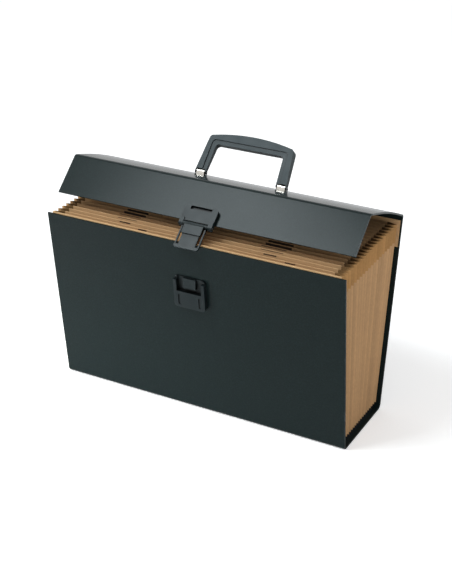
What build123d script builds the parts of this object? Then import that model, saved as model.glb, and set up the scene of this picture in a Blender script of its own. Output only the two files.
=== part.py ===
from build123d import *
import math
import os

# An expanding file case: a creased board cover with a lid and flap, a pleated kraft file of
# nineteen pockets inside it, a moulded handle and a hook latch. Millimetres and degrees.
# X runs across the width, Y to the back, Z up. The origin is the middle of the base, on the table.

# Cover, measured on its outer faces from corner to corner
WIDTH = 380.0
BASE_DEPTH = 108.0
BACK_HEIGHT = 244.0
FRONT_HEIGHT = BACK_HEIGHT - 16.0
FLAP_LENGTH = 52.0
BOARD = 2.0
FLAP_GAP = 1.0  # closed flap to front panel
LID_DEPTH = BASE_DEPTH + BOARD + FLAP_GAP
LID_BOW = 2.5  # rise of the lid between its creases
BASE_FOLD_RADIUS = 5.0
LID_FOLD_RADIUS = 4.0
FLAP_FOLD_RADIUS = 5.0
CREASE_GAP = 0.3

# Pose in which the case stands
LEAN_OUT = 27.786  # how far the front panel's top edge leans out over its foot
SPREAD = math.degrees(math.asin(LEAN_OUT / FRONT_HEIGHT))
LID_RAISE = 20.0
FLAP_SWING = 47.0

# Pleated file
POCKETS = 19
CARD = 0.6
PAPER_GAP = 0.3
BLOCK_HEIGHT = 6.5
BLOCK_END_INSET = 6.0
BLOCK_SIDE_INSET = 8.0
WALL_FOOT = 9.0
WALL_STAND = 2.0  # front wall above the front panel's top edge
WALL_END_INSET = 6.0
BACK_BAND_HEIGHT = 32.0
BACK_BAND_INSET = 2.0
BACK_WALL_TOP_GAP = 7.0
FRONT_DIVIDER = FRONT_HEIGHT - 8.5
BACK_DIVIDER = BACK_HEIGHT - 20.0
PLEAT_INSET = 5.0  # outer fold of the pleats to the cover's side edge
PLEAT_DEPTH = 12.0
PLEAT_SHEET = 1.2  # sideways offset that gives the pleated paper its thickness
TAPE_SHEET = 1.6
GLUE_LINE = 0.03  # pleated paper to tape
TAPE_HEIGHT = 24.0

# Handle, measured from its pins
HANDLE_FROM_BACK = 45.0
HANDLE_LEAN = 22.0
PIN_RADIUS = 1.25
PIN_HEIGHT = 3.4
RUNNING_FIT = 0.05
HANDLE_FOOT_HALF = 60.5
HANDLE_FOOT_WIDTH = 14.0
HANDLE_SHOULDER_HALF = 55.0
HANDLE_SHOULDER = 45.8
HANDLE_CROWN = 52.2
HANDLE_INNER_HALF = 44.5
HANDLE_INNER_TOP = 36.0
HANDLE_SHOULDER_RADIUS = 4.2
HANDLE_INNER_RADIUS = 4.5
HANDLE_THICKNESS = 10.0
HANDLE_FOOT_RADIUS = 3.1
LEDGE_WIDTH = 5.5
LEDGE_DEPTH = 1.2
CHEEK = 1.6
CHEEK_GAP = 0.3
STRAP = 0.9
STRAP_FOOT = 5.0
BACKING = 0.8
BACKING_MARGIN = 4.0
HEEL = 3.4

# Latch on the flap: s is measured down the flap from its upper corner, h out from its face
LATCH_WIDTH = 42.0
LATCH_TOP = 34.5
LATCH_THICKNESS = 4.6
LATCH_CORNER = 3.5
LATCH_SLOT_WIDTH = 27.0
LATCH_SLOT_HEIGHT = 4.0
LATCH_SLOT_EDGE = 1.0
LATCH_SLOT_DEPTH = 3.6
HASP_PIN_S = 57.3
HASP_PIN_H = 2.9
KNUCKLE_RADIUS = 3.0
HASP_WIDTH = 31.0
LEG_WIDTH = 5.2
LEG_END = 3.2
LEG_THICKNESS = 5.6
HASP_SIDE_GAP = 0.3
HASP_BACK = 3.4
HASP_FRAME = 2.0
HASP_FRAME_TOP = 61.5
HASP_END = 88.2
PAD_WIDTH = 24.0
PAD_START = 59.5
PAD_END = 70.5
PAD_FRONT = 7.2
TONGUE_WIDTH = 21.2
TONGUE_FRONT = 5.6
HASP_SLOT = 3.3
LIP_LENGTH = 3.6
LIP_FRONT = 6.4
LIP_CORNER = 2.6
HOOK_S = 72.6
HOOK_THICKNESS = 2.6
HOOK_TIP = 0.5
HOOK_WIDTH = 16.0
POST_RADIUS = 2.2
LATCH_POST_X = 13.0
LATCH_POST_S = 45.0
BACKPLATE_WIDTH = 38.0
BACKPLATE_LENGTH = 11.0

# Keeper on the front panel: s is measured up the panel from its lower corner
KEEPER_WIDTH = 40.0
KEEPER_TOP = 185.3
KEEPER_LENGTH = 39.0
KEEPER_THICKNESS = 6.0
KEEPER_FLOOR = 1.2
KEEPER_CORNER = 4.0
KEEPER_RIM = 4.0
WELL_LENGTH = 18.0
NOTCH_LENGTH = 3.7
NOTCH_LEVEL = 2.4
NOSE_WIDTH = 16.6
NOSE_LENGTH = 12.0
NOSE_SET_BACK = 0.8
NOSE_TOP_LEVEL = 3.2
NOSE_BOTTOM_LEVEL = 5.0
GROOVE_X = 13.2
GROOVE_WIDTH = 2.4
GROOVE_LENGTH = 13.0
GROOVE_START = 4.0
GROOVE_DEPTH = 0.9
KEEPER_POST_X = 12.0
KEEPER_POST_RISE = 12.0
KEEPER_PLATE_WIDTH = 34.0
KEEPER_PLATE_LENGTH = 22.0


class Side:
    """A straight face in the side view, running from a start point at an angle from +Y.

    s is the distance along it and h the distance out of it, on the hand that `hand` gives.
    """

    def __init__(self, start, angle, hand):
        self.start = start
        self.hand = hand
        run = math.radians(angle)
        self.along = (math.cos(run), math.sin(run))
        self.out = (-hand * math.sin(run), hand * math.cos(run))

    def at(self, s, h=0.0):
        return tuple(self.start[i] + s * self.along[i] + h * self.out[i] for i in (0, 1))

    def y_at(self, z, h=0.0):
        """The Y at which the line that lies h out of this face reaches the height z."""
        s = (z - self.start[1] - h * self.out[1]) / self.along[1]
        return self.at(s, h)[0]

    def place(self, solid):
        """Moves a solid modelled in x, s, h onto this face."""
        frame = Plane(
            origin=(0, *self.start), x_dir=(self.hand, 0, 0), z_dir=(0, *self.out)
        )
        return frame.location * solid

    def block(self, x, s, h):
        """A box between two values of x, of s and of h."""
        low, high = zip(x, s, h)
        size = [b - a for a, b in zip(low, high)]
        middle = [(a + b) / 2 for a, b in zip(low, high)]
        middle[0] *= self.hand
        return self.place(Pos(*middle) * Box(*size))

    def plate(self, width, s, h, corner):
        """A plate centred on x = 0 with rounded corners, seen from outside."""
        outline = RectangleRounded(width, s[1] - s[0], corner)
        return self.place(Pos(0, (s[0] + s[1]) / 2, h[0]) * extrude(outline, h[1] - h[0]))

    def rod(self, x, s, h, radius):
        """A round bar along X between two values of x."""
        bar = Cylinder(radius, x[1] - x[0], rotation=(0, 90, 0))
        return self.place(Pos(self.hand * (x[0] + x[1]) / 2, s, h) * bar)

    def stud(self, x, s, h, radius):
        """A round post that stands out of the face between two values of h."""
        post = Cylinder(radius, h[1] - h[0])
        return self.place(Pos(self.hand * x, s, (h[0] + h[1]) / 2) * post)


def prism(points, x):
    """Extrudes a closed side view outline between two values of x."""
    outline = Polyline(*[(x[0], *p) for p in points], close=True)
    return extrude(make_face(outline), x[1] - x[0], dir=(1, 0, 0))


HALF = WIDTH / 2
FULL = (-HALF, HALF)
FRONT = Side((-BASE_DEPTH / 2, 0), 90 + SPREAD, 1)
BACK = Side((BASE_DEPTH / 2, 0), 90 - SPREAD, -1)
LID = Side(BACK.at(BACK_HEIGHT), 180 - LID_RAISE, -1)
FLAP = Side(LID.at(LID_DEPTH), 270 - FLAP_SWING, -1)


def reach(radius, turn):
    """Distance from a corner to the end of a fold of that outer radius."""
    return radius * math.tan(math.radians(turn) / 2)


BASE_REACH = reach(BASE_FOLD_RADIUS, 90 - SPREAD)
LID_REACH = reach(LID_FOLD_RADIUS, 90 + SPREAD - LID_RAISE)
FLAP_REACH = reach(FLAP_FOLD_RADIUS, 90 + LID_RAISE - FLAP_SWING)
CREASE = CREASE_GAP + BOARD / 2  # fold's end to the crease line
BASE_CREASE = BASE_REACH + CREASE
BACK_CREASE = BACK_HEIGHT - LID_REACH - CREASE
LID_START = LID_REACH + CREASE_GAP
LID_CREASE = LID_DEPTH - FLAP_REACH - CREASE
FLAP_CREASE = FLAP_REACH + CREASE


def fold(corner, first, second, radius):
    """A strip of board bent round the corner where two outer faces meet.

    first and second are the directions that the faces take from the corner.
    """
    half = math.acos(first[0] * second[0] + first[1] * second[1]) / 2
    middle = [first[i] + second[i] for i in (0, 1)]
    length = math.hypot(*middle)
    inward = [m / length for m in middle]
    centre = [corner[i] + inward[i] * radius / math.sin(half) for i in (0, 1)]

    def arc_points(r):
        ends = []
        for run in (first, second):
            touch = [corner[i] + run[i] * radius / math.tan(half) for i in (0, 1)]
            ends.append([centre[i] + (touch[i] - centre[i]) * r / radius for i in (0, 1)])
        crown = [centre[i] - inward[i] * r for i in (0, 1)]
        return [(-HALF, *p) for p in (ends[0], crown, ends[1])]

    outer = arc_points(radius)
    inner = arc_points(radius - BOARD)
    edges = [
        ThreePointArc(*outer),
        Line(outer[2], inner[2]),
        ThreePointArc(*reversed(inner)),
        Line(inner[0], outer[0]),
    ]
    return extrude(make_face(edges), WIDTH, dir=(1, 0, 0))


def opposite(direction):
    return tuple(-d for d in direction)


def base_panel():
    flat = prism(
        [
            (y, z)
            for y, z in (
                (-BASE_DEPTH / 2 + BASE_REACH, 0),
                (BASE_DEPTH / 2 - BASE_REACH, 0),
                (BASE_DEPTH / 2 - BASE_REACH, BOARD),
                (-BASE_DEPTH / 2 + BASE_REACH, BOARD),
            )
        ],
        FULL,
    )
    front_fold = fold(FRONT.start, (1, 0), FRONT.along, BASE_FOLD_RADIUS)
    back_fold = fold(BACK.start, (-1, 0), BACK.along, BASE_FOLD_RADIUS)
    return flat + front_fold + back_fold


def base_block():
    """Folded board tray, open below, that the pockets stand on."""
    x = HALF - BLOCK_END_INSET
    y = BASE_DEPTH / 2 - BLOCK_SIDE_INSET
    outer = Pos(0, 0, BOARD + BLOCK_HEIGHT / 2) * Box(2 * x, 2 * y, BLOCK_HEIGHT)
    wall = BOARD
    inner_height = BLOCK_HEIGHT - wall
    inner = Pos(0, 0, BOARD + inner_height / 2) * Box(
        2 * (x - wall), 2 * (y - wall), inner_height
    )
    return outer - inner


KEEPER_BOTTOM = KEEPER_TOP - KEEPER_LENGTH
KEEPER_POST_S = KEEPER_BOTTOM + KEEPER_POST_RISE
POST_HOLE = POST_RADIUS + RUNNING_FIT
PLATE_SEAT = (-BOARD, -BOARD + BACKING)


def backplate(side, width, length, middle, post_x):
    """A thin steel plate let into the inside of a panel, with a hole for each post."""
    s = (middle - length / 2, middle + length / 2)
    plate = side.plate(width, s, PLATE_SEAT, LATCH_CORNER)
    for x in (-post_x, post_x):
        plate -= side.stud(x, middle, (-BOARD, 0), POST_HOLE)
    return plate


def plate_pocket(side, width, length, middle, post_x):
    """What a backplate and its posts take out of a panel."""
    s = (middle - length / 2 - RUNNING_FIT, middle + length / 2 + RUNNING_FIT)
    pocket = side.plate(width + 2 * RUNNING_FIT, s, PLATE_SEAT, LATCH_CORNER)
    for x in (-post_x, post_x):
        pocket += side.stud(x, middle, (-BOARD, 0), POST_HOLE)
    return pocket


KEEPER_SEAT = (FRONT, KEEPER_PLATE_WIDTH, KEEPER_PLATE_LENGTH, KEEPER_POST_S, KEEPER_POST_X)
LATCH_SEAT = (FLAP, BACKPLATE_WIDTH, BACKPLATE_LENGTH, LATCH_POST_S, LATCH_POST_X)


def front_panel():
    panel = FRONT.block(FULL, (BASE_CREASE, FRONT_HEIGHT), (-BOARD, 0))
    panel += FRONT.rod(FULL, BASE_CREASE, -BOARD / 2, BOARD / 2)
    return panel - plate_pocket(*KEEPER_SEAT)


def back_panel():
    panel = BACK.block(FULL, (BASE_CREASE, BACK_CREASE), (-BOARD, 0))
    for s in (BASE_CREASE, BACK_CREASE):
        panel += BACK.rod(FULL, s, -BOARD / 2, BOARD / 2)
    return panel


WALL_HALF = HALF - WALL_END_INSET
WALL = (-BOARD - CARD, -BOARD)
WALL_FACE = -BOARD - CARD - PAPER_GAP


def front_wall():
    """The file's first sheet, glued to the inside of the front panel."""
    return FRONT.block((-WALL_HALF, WALL_HALF), (WALL_FOOT, FRONT_HEIGHT + WALL_STAND), WALL)


def back_wall():
    """The file's last sheet, with the wider band that lines the top of the back panel."""
    top = BACK_HEIGHT - BACK_WALL_TOP_GAP
    sheet = BACK.block((-WALL_HALF, WALL_HALF), (WALL_FOOT, top), WALL)
    band = HALF - BACK_BAND_INSET
    return sheet + BACK.block((-band, band), (top - BACK_BAND_HEIGHT, top), WALL)


PIVOT_Z = BOARD + BLOCK_HEIGHT + PAPER_GAP + CARD / 2


def divider_side(k):
    """The side view line of divider k, counted from the front wall, 0, to the back wall."""
    share = k / POCKETS
    front, back = FRONT.y_at(PIVOT_Z, WALL_FACE), BACK.y_at(PIVOT_Z, WALL_FACE)
    lean = -SPREAD + 2 * SPREAD * share
    return Side((front + (back - front) * share, PIVOT_Z), 90 - lean, -1)


def divider_length(k):
    return FRONT_DIVIDER + (BACK_DIVIDER - FRONT_DIVIDER) * k / POCKETS


PLEAT_OUTER = HALF - PLEAT_INSET
PLEAT_INNER = PLEAT_OUTER - PLEAT_DEPTH
DIVIDER_HALF = PLEAT_INNER - PAPER_GAP


def divider(k):
    ends = (-CARD / 2, divider_length(k))
    return divider_side(k).block((-DIVIDER_HALF, DIVIDER_HALF), ends, (-CARD / 2, CARD / 2))


def zigzag(z, offset):
    """The pleats in plan at height z: an inner fold at each sheet, an outer one between."""
    sheets = [divider_side(k).y_at(z) for k in range(POCKETS + 1)]
    points = []
    for k, y in enumerate(sheets):
        points.append((PLEAT_INNER + offset, y))
        if k < POCKETS:
            points.append((PLEAT_OUTER + offset, (y + sheets[k + 1]) / 2))
    return points


SHEET_TOP = PIVOT_Z + divider_length(POCKETS)
TOP_FRONT = divider_side(0).at(FRONT_DIVIDER)
TOP_BACK = divider_side(POCKETS).at(BACK_DIVIDER)


def below_top(drop):
    """The space under the sloping line of the sheets' tops, lowered by drop."""
    (y0, z0), (y1, z1) = TOP_FRONT, TOP_BACK
    slope = (z1 - z0) / (y1 - y0)
    far = BASE_DEPTH
    line = [(y, z0 + slope * (y - y0) - drop) for y in (-far, far)]
    return prism([(-far, 0), (far, 0), line[1], line[0]], FULL)


def pleats(side, near, far, drop=0.0):
    """Pleated sheet on one end of the file, between two sideways offsets.

    With a drop, only the band of that height along its top.
    """
    levels = []
    for z in (PIVOT_Z, SHEET_TOP):
        loop = zigzag(z, near) + list(reversed(zigzag(z, far)))
        levels.append(make_face(Polyline(*[(side * x, y, z) for x, y in loop], close=True)))
    sheet = loft(levels, ruled=True) & below_top(0.0)
    return sheet - below_top(drop) if drop else sheet


def lid_fold():
    return fold(LID.start, LID.along, opposite(BACK.along), LID_FOLD_RADIUS)


def flap_fold():
    return fold(FLAP.start, opposite(LID.along), FLAP.along, FLAP_FOLD_RADIUS)


LOOP_X = HANDLE_FOOT_HALF - HANDLE_FOOT_WIDTH / 2
STRAP_WIDTH = HANDLE_FOOT_WIDTH - 2 * (CHEEK + CHEEK_GAP)
STRAP_OUTER = PIN_RADIUS + RUNNING_FIT + STRAP
LID_RUN = LID_CREASE - LID_START


def lid_rise(s):
    """Height of the bowed lid above its chord."""
    share = (s - LID_START) / LID_RUN
    return 4 * LID_BOW * share * (1 - share)


LID_TOP = lid_rise(HANDLE_FROM_BACK)
PIN_LEVEL = LID_TOP + PIN_HEIGHT
BACKING_REACH = STRAP_OUTER + STRAP_FOOT + BACKING_MARGIN
BACKING_SPAN = (HANDLE_FROM_BACK - BACKING_REACH, HANDLE_FROM_BACK + BACKING_REACH)
PLATE_TOP = min(lid_rise(s) for s in BACKING_SPAN) - BOARD - RUNNING_FIT
PLATE_UNDER = PLATE_TOP - BACKING


def lid_panel():
    middle = (LID_START + LID_CREASE) / 2
    outline = []
    for h in (0.0, -BOARD):
        stations = ((LID_START, h), (middle, h + LID_BOW), (LID_CREASE, h))
        outline.append([(-HALF, *LID.at(*p)) for p in stations])
    outer, inner = outline
    edges = [
        ThreePointArc(*outer),
        Line(outer[2], inner[2]),
        ThreePointArc(*reversed(inner)),
        Line(inner[0], outer[0]),
    ]
    panel = extrude(make_face(edges), WIDTH, dir=(1, 0, 0))
    panel += LID.rod(FULL, LID_CREASE, -BOARD / 2, BOARD / 2)
    for x in (-LOOP_X, LOOP_X):
        panel -= loop_slot(x)
    return panel


def loop_slot(x):
    """Slot for one strap loop, through the lid and its backing plate."""
    half = STRAP_WIDTH / 2 + RUNNING_FIT
    reach_s = STRAP_OUTER + RUNNING_FIT
    s = (HANDLE_FROM_BACK - reach_s, HANDLE_FROM_BACK + reach_s)
    return LID.block((x - half, x + half), s, (PLATE_UNDER - BOARD, PIN_LEVEL))


def handle_loop(x):
    """Strap bent over a pin, with its feet turned out under the backing plate."""
    half = STRAP_WIDTH / 2
    across = (x - half, x + half)
    inner = PIN_RADIUS + RUNNING_FIT
    bend = LID.rod(across, HANDLE_FROM_BACK, PIN_LEVEL, STRAP_OUTER)
    span = (HANDLE_FROM_BACK - STRAP_OUTER, HANDLE_FROM_BACK + STRAP_OUTER)
    legs = LID.block(across, span, (PLATE_UNDER - STRAP, PIN_LEVEL))
    gap = (HANDLE_FROM_BACK - inner, HANDLE_FROM_BACK + inner)
    feet = LID.block(
        across,
        (span[0] - STRAP_FOOT, span[1] + STRAP_FOOT),
        (PLATE_UNDER - STRAP, PLATE_UNDER),
    )
    loop = bend + legs + feet
    loop -= LID.block(across, gap, (PLATE_UNDER - STRAP, PIN_LEVEL))
    return loop - LID.rod(across, HANDLE_FROM_BACK, PIN_LEVEL, inner)


def handle_backing(x):
    half = STRAP_WIDTH / 2 + BACKING_MARGIN
    plate = LID.block((x - half, x + half), BACKING_SPAN, (PLATE_UNDER, PLATE_TOP))
    return plate - loop_slot(x)


HANDLE = Side(LID.at(HANDLE_FROM_BACK, PIN_LEVEL), 90 - HANDLE_LEAN - LID_RAISE, 1)


def handle_outline(shrink):
    """Front view of the handle between its outer edge and an inner edge moved out by shrink."""
    foot = -HANDLE_FOOT_RADIUS
    outer = [(-HANDLE_FOOT_HALF, foot), (-HANDLE_SHOULDER_HALF, HANDLE_SHOULDER)]
    right = [(-x, v) for x, v in reversed(outer)]
    edges = [
        Line(*outer),
        ThreePointArc(outer[1], (0, HANDLE_CROWN), right[0]),
        Line(*right),
        Line(right[1], outer[0]),
    ]
    shape = make_face(edges)
    shoulders = shape.vertices().sort_by(Axis.Y)[-2:]
    shape = fillet(shoulders, HANDLE_SHOULDER_RADIUS)
    inner_foot = HANDLE_FOOT_HALF - HANDLE_FOOT_WIDTH
    opening = make_face(
        Polyline(
            (-inner_foot - shrink, foot),
            (-HANDLE_INNER_HALF - shrink, HANDLE_INNER_TOP + shrink),
            (HANDLE_INNER_HALF + shrink, HANDLE_INNER_TOP + shrink),
            (inner_foot + shrink, foot),
            close=True,
        )
    )
    tops = opening.vertices().sort_by(Axis.Y)[-2:]
    return shape - fillet(tops, HANDLE_INNER_RADIUS)


def handle_depth(inset):
    """Side view of the handle, tapering from its grip to its round feet, drawn in by inset."""
    half = HANDLE_THICKNESS / 2 - inset
    foot = HANDLE_FOOT_RADIUS - inset
    top = HANDLE_CROWN + HANDLE_THICKNESS
    points = [(foot, 0), (half, HANDLE_INNER_TOP), (half, top)]
    mirror = [(-w, v) for w, v in reversed(points)]
    taper = make_face(Polyline(*points, *mirror, close=True))
    across = Plane(origin=(0, 0, 0), x_dir=(0, 0, 1), z_dir=(-1, 0, 0))
    return extrude(across.location * (taper + Circle(foot)), HALF, both=True)


def handle_grip():
    flat = Plane(origin=(0, 0, -HANDLE_THICKNESS)).location
    rim = flat * extrude(handle_outline(LEDGE_WIDTH), 2 * HANDLE_THICKNESS)
    whole = flat * extrude(handle_outline(0.0), 2 * HANDLE_THICKNESS)
    body = HANDLE.place((rim & handle_depth(0.0)) + (whole & handle_depth(LEDGE_DEPTH)))
    window_top = STRAP_OUTER + CHEEK_GAP
    for x in (-LOOP_X, LOOP_X):
        half = STRAP_WIDTH / 2 + CHEEK_GAP
        for side in (-1, 1):
            edges = sorted((x + side * half, x + side * (half + CHEEK)))
            heel_s = (HANDLE_FROM_BACK - HEEL, HANDLE_FROM_BACK)
            heel_h = (LID_TOP + CHEEK_GAP, PIN_LEVEL)
            body += LID.block(edges, heel_s, heel_h)
        body -= HANDLE.block(
            (x - half, x + half),
            (-HANDLE_THICKNESS, window_top),
            (-HANDLE_THICKNESS, HANDLE_THICKNESS),
        )
        body -= handle_pin(x, PIN_RADIUS + RUNNING_FIT)
    return body


def handle_pin(x, radius=PIN_RADIUS):
    half = HANDLE_FOOT_WIDTH / 2
    return LID.rod((x - half, x + half), HANDLE_FROM_BACK, PIN_LEVEL, radius)


def flap_panel():
    panel = FLAP.block(FULL, (FLAP_CREASE, FLAP_LENGTH), (-BOARD, 0))
    panel += FLAP.rod(FULL, FLAP_CREASE, -BOARD / 2, BOARD / 2)
    return panel - plate_pocket(*LATCH_SEAT)


LEG_INNER = HASP_WIDTH / 2 + HASP_SIDE_GAP
LATCH_BOTTOM = HASP_PIN_S - KNUCKLE_RADIUS - HASP_SIDE_GAP
HASP_HOLE = PIN_RADIUS + RUNNING_FIT
SLOT_TOP = LATCH_TOP + LATCH_SLOT_EDGE
SLOT_FLOOR = LATCH_THICKNESS - LATCH_SLOT_DEPTH


def latch_plate():
    plate = FLAP.plate(LATCH_WIDTH, (LATCH_TOP, LATCH_BOTTOM), (0, LATCH_THICKNESS), LATCH_CORNER)
    plate -= FLAP.block(
        (-LATCH_SLOT_WIDTH / 2, LATCH_SLOT_WIDTH / 2),
        (SLOT_TOP, SLOT_TOP + LATCH_SLOT_HEIGHT),
        (SLOT_FLOOR, LATCH_THICKNESS),
    )
    leg_start = LATCH_BOTTOM - LATCH_CORNER
    for side in (-1, 1):
        leg_x = sorted((side * LEG_INNER, side * (LEG_INNER + LEG_WIDTH)))
        plate += FLAP.block(leg_x, (leg_start, HASP_PIN_S), (0, LEG_THICKNESS))
        middle = LEG_THICKNESS / 2
        plate += FLAP.rod(leg_x, HASP_PIN_S, middle, middle)
        plate += FLAP.block(leg_x, (HASP_PIN_S, HASP_PIN_S + LEG_END), (0, middle))
        plate += FLAP.stud(side * LATCH_POST_X, LATCH_POST_S, (-BOARD, 0), POST_RADIUS)
    return plate - hasp_pin(HASP_HOLE)


def hasp_pin(radius=PIN_RADIUS):
    reach_x = LEG_INNER + LEG_WIDTH
    return FLAP.rod((-reach_x, reach_x), HASP_PIN_S, HASP_PIN_H, radius)


def hasp():
    half = HASP_WIDTH / 2
    body = FLAP.rod((-half, half), HASP_PIN_S, HASP_PIN_H, KNUCKLE_RADIUS)
    frame = (HASP_BACK, HASP_BACK + HASP_FRAME)
    body += FLAP.block((-half, half), (HASP_FRAME_TOP, HASP_END), frame)
    outer = TONGUE_WIDTH / 2 + HASP_SLOT
    for side in (-1, 1):
        slot_x = sorted((side * TONGUE_WIDTH / 2, side * outer))
        body -= FLAP.block(slot_x, (HASP_FRAME_TOP, HASP_END - LIP_LENGTH), frame)
    body += pad()
    tongue_s = (PAD_END, HASP_END - LIP_LENGTH)
    tongue = (-TONGUE_WIDTH / 2, TONGUE_WIDTH / 2)
    body += FLAP.block(tongue, tongue_s, (HASP_BACK, TONGUE_FRONT))
    body += FLAP.block((-half, half), (HASP_END - LIP_LENGTH, HASP_END), (HASP_BACK, LIP_FRONT))
    hook = (-HOOK_WIDTH / 2, HOOK_WIDTH / 2)
    body += FLAP.block(hook, (HOOK_S, HOOK_S + HOOK_THICKNESS), (HOOK_TIP, HASP_BACK))
    rounded = (LATCH_TOP, HASP_END)
    body &= FLAP.plate(HASP_WIDTH, rounded, (0, 2 * PAD_FRONT), LIP_CORNER)
    return body - hasp_pin(HASP_HOLE)


def pad():
    """Raised thumb pad: its face climbs from the knuckle to full height."""
    crown = HASP_PIN_H + KNUCKLE_RADIUS
    stations = [
        (HASP_PIN_S, HASP_BACK),
        (HASP_PIN_S, crown),
        (PAD_START, PAD_FRONT),
        (PAD_END, PAD_FRONT),
        (PAD_END, HASP_BACK),
    ]
    return prism([FLAP.at(*p) for p in stations], (-PAD_WIDTH / 2, PAD_WIDTH / 2))


WELL_BOTTOM = KEEPER_TOP - WELL_LENGTH


def keeper():
    outer = (0, KEEPER_THICKNESS)
    body = FRONT.plate(KEEPER_WIDTH, (KEEPER_BOTTOM, KEEPER_TOP), outer, KEEPER_CORNER)
    well = KEEPER_WIDTH / 2 - KEEPER_RIM
    above = KEEPER_TOP + KEEPER_CORNER
    body -= FRONT.block((-well, well), (WELL_BOTTOM, above), (KEEPER_FLOOR, KEEPER_THICKNESS))
    notch = (KEEPER_TOP - NOTCH_LENGTH, above)
    body -= FRONT.block(FULL, notch, (NOTCH_LEVEL, KEEPER_THICKNESS))
    for side in (-1, 1):
        middle = side * GROOVE_X
        groove_s = KEEPER_BOTTOM + GROOVE_START
        body -= FRONT.block(
            (middle - GROOVE_WIDTH / 2, middle + GROOVE_WIDTH / 2),
            (groove_s, groove_s + GROOVE_LENGTH),
            (KEEPER_THICKNESS - GROOVE_DEPTH, KEEPER_THICKNESS),
        )
        body += FRONT.stud(side * KEEPER_POST_X, KEEPER_POST_S, (-BOARD, 0), POST_RADIUS)
    return body + nose()


def nose():
    """Catch with a face that slopes back towards its top and a square lower edge."""
    top = KEEPER_TOP - NOSE_SET_BACK
    bottom = top - NOSE_LENGTH
    stations = [
        (bottom, 0),
        (bottom, NOSE_BOTTOM_LEVEL),
        (top, NOSE_TOP_LEVEL),
        (top, 0),
    ]
    return prism([FRONT.at(*p) for p in stations], (-NOSE_WIDTH / 2, NOSE_WIDTH / 2))


def parts():
    """Every node's name and solid."""
    yield "base_panel", base_panel()
    yield "base_block", base_block()
    yield "front_panel", front_panel()
    yield "front_wall", front_wall()
    yield "keeper", keeper()
    yield "keeper_backplate", backplate(*KEEPER_SEAT)
    yield "back_panel", back_panel()
    yield "back_wall", back_wall()
    for k in range(1, POCKETS):
        yield f"divider_{k:02d}", divider(k)
    for name, side in (("left", -1), ("right", 1)):
        yield f"{name}_gusset", pleats(side, 0.0, PLEAT_SHEET)
        near = PLEAT_SHEET + GLUE_LINE
        yield f"{name}_tape", pleats(side, near, near + TAPE_SHEET, TAPE_HEIGHT)
    yield "lid_fold", lid_fold()
    yield "lid_panel", lid_panel()
    yield "handle_grip", handle_grip()
    for name, make in (
        ("handle_pins", handle_pin),
        ("handle_loops", handle_loop),
        ("handle_backing_plates", handle_backing),
    ):
        yield name, Compound([*make(-LOOP_X).solids(), *make(LOOP_X).solids()])
    yield "flap_fold", flap_fold()
    yield "flap_panel", flap_panel()
    yield "latch_plate", latch_plate()
    yield "latch_backplate", backplate(*LATCH_SEAT)
    yield "hasp", hasp()
    yield "hasp_pin", hasp_pin()


def main():
    os.makedirs("parts", exist_ok=True)
    for name, shape in parts():
        export_step(shape, f"parts/{name}.step")
    creases = {
        "front_cover": FRONT.at(BASE_CREASE, -BOARD / 2),
        "back_cover": BACK.at(BASE_CREASE, -BOARD / 2),
        "lid_fold": BACK.at(BACK_CREASE, -BOARD / 2),
        "lid": LID.at(LID_START - CREASE_GAP / 2),
        "flap_fold": LID.at(LID_CREASE, -BOARD / 2),
        "flap": FLAP.at(FLAP_CREASE, -BOARD / 2),
        "handle": HANDLE.start,
        "hasp": FLAP.at(HASP_PIN_S, HASP_PIN_H),
    }
    for k in range(1, POCKETS):
        creases[f"divider_{k:02d}"] = divider_side(k).start
    for name, (y, z) in creases.items():
        print(f"{name} turns about Y {y:.4f} Z {z:.4f}")


main()
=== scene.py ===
import math

import bpy
from mathutils import Matrix, Vector


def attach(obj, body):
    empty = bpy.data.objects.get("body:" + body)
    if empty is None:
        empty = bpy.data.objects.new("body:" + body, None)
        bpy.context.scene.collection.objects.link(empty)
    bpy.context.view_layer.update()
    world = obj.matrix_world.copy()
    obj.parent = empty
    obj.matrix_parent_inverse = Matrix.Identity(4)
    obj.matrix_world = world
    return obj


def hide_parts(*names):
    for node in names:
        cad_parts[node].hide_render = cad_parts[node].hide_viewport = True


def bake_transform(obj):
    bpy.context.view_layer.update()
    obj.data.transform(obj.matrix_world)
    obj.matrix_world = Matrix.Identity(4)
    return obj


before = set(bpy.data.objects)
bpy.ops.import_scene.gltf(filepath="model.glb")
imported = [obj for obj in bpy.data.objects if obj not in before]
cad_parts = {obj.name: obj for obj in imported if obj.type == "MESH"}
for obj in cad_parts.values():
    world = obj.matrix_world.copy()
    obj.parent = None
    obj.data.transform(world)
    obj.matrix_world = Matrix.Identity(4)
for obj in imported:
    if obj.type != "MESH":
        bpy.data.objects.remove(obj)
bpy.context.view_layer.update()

bl_info = {
    "name": "Expanding file case",
    "version": (1, 0, 0),
    "blender": (4, 5, 0),
    "location": "3D View > Sidebar > File case",
    "description": "Dresses the packed file case: grained board, kraft pockets, handle and latch",
    "category": "Object",
}

MM = 0.001

# Cover, in millimetres, measured on its outer faces from corner to corner
WIDTH = 380.0
BASE_DEPTH = 108.0
BACK_HEIGHT = 244.0
FRONT_HEIGHT = BACK_HEIGHT - 16.0
BOARD = 2.0
LID_DEPTH = BASE_DEPTH + BOARD + 1.0
LID_BOW = 2.5
BASE_FOLD_RADIUS = 5.0
LID_FOLD_RADIUS = 4.0
FLAP_FOLD_RADIUS = 5.0
CREASE_GAP = 0.3

# Pose of the cover, in degrees
SPREAD = 7.0
LID_RAISE = 20.0
FLAP_SWING = 47.0

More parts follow.
